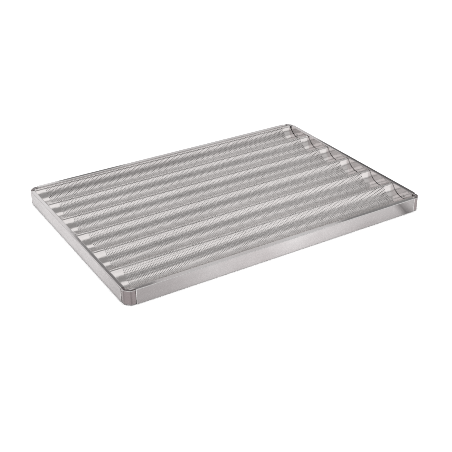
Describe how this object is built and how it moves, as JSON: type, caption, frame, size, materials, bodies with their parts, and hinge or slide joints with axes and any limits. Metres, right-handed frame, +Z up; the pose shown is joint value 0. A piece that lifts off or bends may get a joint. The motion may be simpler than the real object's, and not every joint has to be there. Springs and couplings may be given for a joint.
{
  "type": "baguette tray",
  "caption": "Flat bakery tray with a perforated sheet pressed into parallel round channels for long loaves, in a tubular steel frame with chamfered corners.",
  "frame": {"origin": "centre of the plane that the frame stands on", "axes": "+X along the channels and the long sides, +Y across the channels, +Z up"},
  "size_m": [0.66, 0.46, 0.03],
  "materials": {
    "perforated_sheet": "bright cold-rolled stainless sheet, fine round perforations, plain ends",
    "frame_rail": "satin-brushed stainless tube, brushed along its length, light handling marks",
    "corner_elbow": "bent stainless tube, duller and darker than the rails",
    "rivet": "plain stainless rivet body",
    "rivet_mandrel": "dull snapped steel stem"
  },
  "bodies": {
    "root": {"channel_sheet": "perforated_sheet", "rail_front": "frame_rail", "rail_back": "frame_rail", "rail_left": "frame_rail", "rail_right": "frame_rail", "corner_elbow_front_left": "corner_elbow", "rivet_front_left_long": "rivet", "mandrel_front_left_long": "rivet_mandrel", "rivet_front_left_short": "rivet", "mandrel_front_left_short": "rivet_mandrel", "corner_elbow_front_right": "corner_elbow", "rivet_front_right_long": "rivet", "mandrel_front_right_long": "rivet_mandrel", "rivet_front_right_short": "rivet", "mandrel_front_right_short": "rivet_mandrel", "corner_elbow_back_right": "corner_elbow", "rivet_back_right_long": "rivet", "mandrel_back_right_long": "rivet_mandrel", "rivet_back_right_short": "rivet", "mandrel_back_right_short": "rivet_mandrel", "corner_elbow_back_left": "corner_elbow", "rivet_back_left_long": "rivet", "mandrel_back_left_long": "rivet_mandrel", "rivet_back_left_short": "rivet", "mandrel_back_left_short": "rivet_mandrel"}
  },
  "joints": []
}
